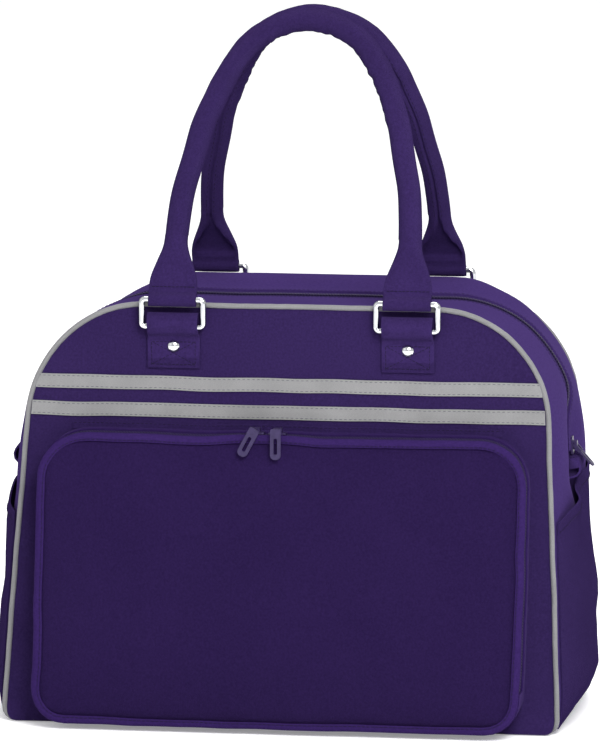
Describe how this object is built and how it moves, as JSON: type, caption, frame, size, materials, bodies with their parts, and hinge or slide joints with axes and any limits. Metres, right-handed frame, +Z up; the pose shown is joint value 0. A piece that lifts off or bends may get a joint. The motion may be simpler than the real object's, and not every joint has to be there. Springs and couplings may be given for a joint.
{
  "type": "bowling ball bag",
  "caption": "Arched fabric bowling bag with contrast piping, zipped front pocket, side slip pockets, zipped top mouth and two rolled handles on chrome rings.",
  "frame": {"origin": "on the floor under the middle of the base", "axes": "+Z up, front pocket faces -Y, +X to the right seen from the front"},
  "size_m": [0.4299, 0.238, 0.5367],
  "materials": {
    "purple_cloth": "woven polyester, matt",
    "piping": "covered cord, matt",
    "stripe_tape": "woven tape, matt",
    "zip_tape": "woven tape, matt",
    "zip_teeth": "satin",
    "chrome": "polished",
    "zip_metal": "satin enamel",
    "handle_core": "twisted rope",
    "base_board": "matt"
  },
  "bodies": {
    "bag": {"front_panel_lower": "purple_cloth", "back_panel_lower": "purple_cloth", "front_piping_lower": "piping", "back_piping_lower": "piping", "base_panel": "purple_cloth", "base_board": "base_board", "side_panel_left": "purple_cloth", "side_panel_right": "purple_cloth", "main_zip_tail_left": "zip_tape", "main_zip_tail_right": "zip_tape", "pocket_zip_facing": "purple_cloth", "pocket_gusset": "purple_cloth", "pocket_zip_tape_outer": "zip_tape", "pocket_zip_teeth": "zip_teeth", "pocket_zip_tape_inner": "zip_tape", "pocket_binding": "purple_cloth", "pocket_panel": "purple_cloth", "loop_tab_left": "purple_cloth", "loop_tab_right": "purple_cloth", "side_pocket_left": "purple_cloth", "side_pocket_right": "purple_cloth"},
    "front_top": {"front_panel_upper": "purple_cloth", "front_piping_upper": "piping", "top_band_front": "purple_cloth", "main_zip_tape_front": "zip_tape", "main_zip_teeth_front": "zip_teeth", "stripe_upper": "stripe_tape", "stripe_lower": "stripe_tape", "tab_front_left": "purple_cloth", "tab_front_right": "purple_cloth", "rivets_front": "chrome"},
    "back_top": {"back_panel_upper": "purple_cloth", "back_piping_upper": "piping", "top_band_back": "purple_cloth", "main_zip_tape_back": "zip_tape", "main_zip_teeth_back": "zip_teeth", "tab_back_left": "purple_cloth", "tab_back_right": "purple_cloth", "rivets_back": "chrome"},
    "ring_front_left": {"ring_front_left": "chrome"},
    "ring_front_right": {"ring_front_right": "chrome"},
    "ring_back_left": {"ring_back_left": "chrome"},
    "ring_back_right": {"ring_back_right": "chrome"},
    "handle_front": {"handle_cover_front": "purple_cloth", "handle_core_front": "handle_core"},
    "handle_back": {"handle_cover_back": "purple_cloth", "handle_core_back": "handle_core"},
    "pocket_slider_left": {"pocket_slider_left": "zip_metal"},
    "pocket_slider_right": {"pocket_slider_right": "zip_metal"},
    "pocket_pull_left": {"pocket_pull_left": "zip_metal"},
    "pocket_pull_right": {"pocket_pull_right": "zip_metal"},
    "main_slider": {"main_slider": "zip_metal"},
    "main_pull": {"main_pull": "zip_metal"}
  },
  "joints": [
    {"name": "mouth_front_fold", "type": "hinge", "parent": "bag", "child": "front_top", "pos_m": [0, -0.0975, 0.232], "axis": [1, 0, 0], "range_deg": [0, 25]},
    {"name": "mouth_back_fold", "type": "hinge", "parent": "bag", "child": "back_top", "pos_m": [0, 0.0975, 0.232], "axis": [-1, 0, 0], "range_deg": [0, 25]},
    {"name": "ring_front_left_swing", "type": "hinge", "parent": "front_top", "child": "ring_front_left", "pos_m": [-0.0885, -0.1017, 0.3042], "axis": [1, 0, 0], "range_deg": [0, 45]},
    {"name": "ring_front_right_swing", "type": "hinge", "parent": "front_top", "child": "ring_front_right", "pos_m": [0.0885, -0.1017, 0.3042], "axis": [1, 0, 0], "range_deg": [0, 45]},
    {"name": "ring_back_left_swing", "type": "hinge", "parent": "back_top", "child": "ring_back_left", "pos_m": [-0.0885, 0.1017, 0.3042], "axis": [-1, 0, 0], "range_deg": [0, 45]},
    {"name": "ring_back_right_swing", "type": "hinge", "parent": "back_top", "child": "ring_back_right", "pos_m": [0.0885, 0.1017, 0.3042], "axis": [-1, 0, 0], "range_deg": [0, 45]},
    {"name": "handle_front_drop", "type": "hinge", "parent": "ring_front_left", "child": "handle_front", "pos_m": [-0.0885, -0.1017, 0.3246], "axis": [1, 0, 0], "range_deg": [0, 120]},
    {"name": "handle_back_drop", "type": "hinge", "parent": "ring_back_left", "child": "handle_back", "pos_m": [-0.0885, 0.1017, 0.3246], "axis": [-1, 0, 0], "range_deg": [0, 120]},
    {"name": "pocket_slider_left_run", "type": "slide", "parent": "bag", "child": "pocket_slider_left", "axis": [-1, 0, 0], "range_m": [0, 0.117]},
    {"name": "pocket_slider_right_run", "type": "slide", "parent": "bag", "child": "pocket_slider_right", "axis": [1, 0, 0], "range_m": [0, 0.148]},
    {"name": "pocket_pull_left_swing", "type": "hinge", "parent": "pocket_slider_left", "child": "pocket_pull_left", "pos_m": [-0.02385, -0.12218, 0.2295], "axis": [0, -0.999, 0.0436], "range_deg": [-50, 26]},
    {"name": "pocket_pull_right_swing", "type": "hinge", "parent": "pocket_slider_right", "child": "pocket_pull_right", "pos_m": [-0.00735, -0.12218, 0.2295], "axis": [0, -0.999, 0.0436], "range_deg": [-8, 75]},
    {"name": "main_slider_run", "type": "slide", "parent": "bag", "child": "main_slider", "axis": [-0.0589, 0, 0.9983], "range_m": [0, 0.017]},
    {"name": "main_pull_swing", "type": "hinge", "parent": "main_slider", "child": "main_pull", "pos_m": [0.20354, 0, 0.20623], "axis": [0, -1, 0], "range_deg": [0, 100]}
  ],
  "couplings": [
    {"joint": "ring_front_right_swing", "follows": "ring_front_left_swing", "ratio": 1},
    {"joint": "ring_back_right_swing", "follows": "ring_back_left_swing", "ratio": 1}
  ]
}
